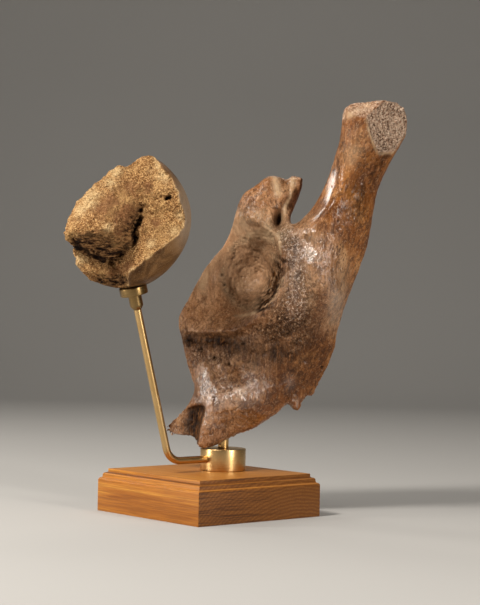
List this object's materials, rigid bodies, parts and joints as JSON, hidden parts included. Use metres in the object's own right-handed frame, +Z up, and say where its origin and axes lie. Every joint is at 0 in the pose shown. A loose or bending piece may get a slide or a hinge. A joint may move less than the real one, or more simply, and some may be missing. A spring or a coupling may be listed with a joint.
{
  "type": "mounted fossil hip socket",
  "caption": "Fossil pelvis fragment with a deep hip socket and the broken ball of a thigh bone, both held by a bent metal fitting on a square moulded wooden base for display.",
  "frame": {"origin": "centre of the square base's underside", "axes": "+Z up, X and Y along the base's sides; the bent arm runs out of the hub towards -Y, and the corner between the +X and -Y sides faces the picture's camera"},
  "size_m": [0.2787, 0.3619, 0.4951],
  "materials": {
    "base_oak": "satin clear lacquer over honey oak, straight grain on two sides and end grain on two",
    "fitting_brass": "fine turned satin brass",
    "brown_fossil_bone": "varnished chestnut fossil bone, porous round the socket, bare spongy breaks",
    "ochre_fossil_bone": "dry ochre spongy bone, the joint surface smooth and tan"
  },
  "bodies": {
    "root": {"wood_base": "base_oak", "brass_hub": "fitting_brass", "brass_post": "fitting_brass", "brass_arm": "fitting_brass", "brass_cup": "fitting_brass", "acetabulum_bone": "brown_fossil_bone", "femoral_ball": "ochre_fossil_bone"}
  },
  "joints": []
}
